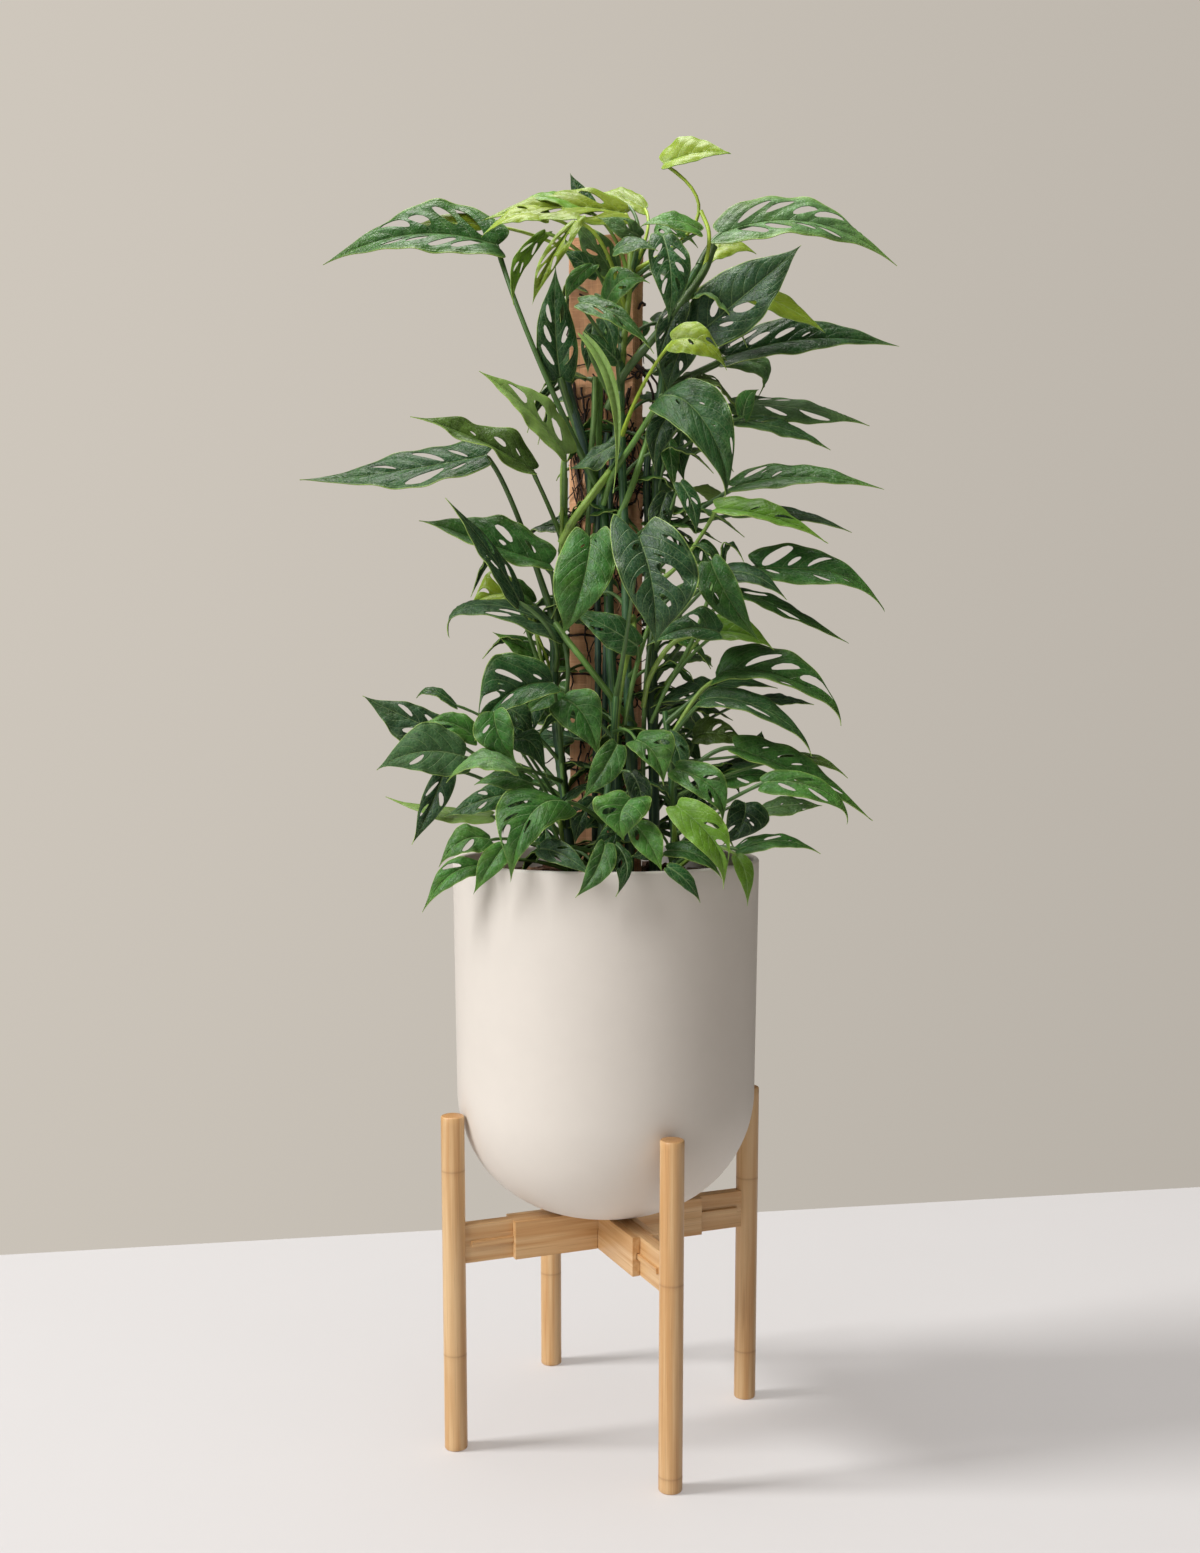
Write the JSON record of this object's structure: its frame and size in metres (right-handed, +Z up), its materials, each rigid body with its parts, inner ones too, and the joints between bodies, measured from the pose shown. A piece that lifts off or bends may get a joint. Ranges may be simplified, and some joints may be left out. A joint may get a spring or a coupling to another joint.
{
  "type": "potted monstera adansonii on an adjustable plant stand",
  "caption": "Climbing monstera adansonii with holed heart-shaped leaves, tied to a sawn plank in a round-bottomed pot on an adjustable bamboo stand.",
  "frame": {"origin": "on the floor, under the pot's axis", "axes": "+Z up along the pot's axis; the stand's arms lie along X and Y; the plant's showy side faces the front leg's left, between -Y and -X"},
  "size_m": [0.5763, 0.3997, 1.2646],
  "materials": {
    "bamboo": "satin lacquered bamboo",
    "pot": "matt, faintly speckled, sand colour",
    "soil": "crumbly potting mix",
    "plank": "rough sawn",
    "leaf": "smooth leaf with a soft sheen",
    "stem": "smooth green stalk",
    "root": "dry brown aerial root"
  },
  "bodies": {
    "base": {"slat_x_back": "bamboo", "slat_x_front": "bamboo", "slat_y_left": "bamboo", "slat_y_right": "bamboo", "pot": "pot", "soil": "soil", "plank": "plank", "vine_left": "leaf", "vine_tall": "leaf", "vine_top": "leaf", "vine_right": "leaf", "vine_low": "leaf", "vine_front": "leaf", "vine_back": "leaf"},
    "arm_right": {"leg_right": "bamboo", "bar_right": "bamboo"},
    "arm_back": {"leg_back": "bamboo", "bar_back": "bamboo"},
    "arm_left": {"leg_left": "bamboo", "bar_left": "bamboo"},
    "arm_front": {"leg_front": "bamboo", "bar_front": "bamboo"}
  },
  "joints": [
    {"name": "arm_right_slide", "type": "slide", "parent": "base", "child": "arm_right", "axis": [1, 0, 0], "range_m": [0, 0.04]},
    {"name": "arm_back_slide", "type": "slide", "parent": "base", "child": "arm_back", "axis": [0, 1, 0], "range_m": [0, 0.04]},
    {"name": "arm_left_slide", "type": "slide", "parent": "base", "child": "arm_left", "axis": [-1, 0, 0], "range_m": [0, 0.04]},
    {"name": "arm_front_slide", "type": "slide", "parent": "base", "child": "arm_front", "axis": [0, -1, 0], "range_m": [0, 0.04]}
  ]
}
